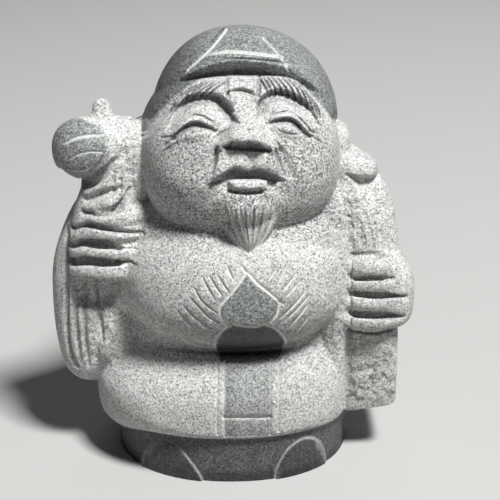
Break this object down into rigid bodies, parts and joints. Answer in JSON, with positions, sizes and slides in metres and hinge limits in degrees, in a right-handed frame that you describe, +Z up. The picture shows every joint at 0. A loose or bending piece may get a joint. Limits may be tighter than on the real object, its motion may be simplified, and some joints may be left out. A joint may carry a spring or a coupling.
{
  "type": "stone statue",
  "caption": "Small granite figure of a laughing god of plenty with cap, pointed beard, round belly, mallet and sack, carved in one with its low round base.",
  "frame": {"origin": "middle of the flat underside of the base", "axes": "+Z up, the figure faces -Y, +X towards the figure's left hand, which holds the sack's neck"},
  "size_m": [0.1253, 0.0866, 0.15],
  "materials": {
    "granite": "speckled grey granite: pecked pale surface, with the cap, mallet end, jewel, panel and base smoothed darker"
  },
  "bodies": {
    "root": {"statue": "granite"}
  },
  "joints": []
}
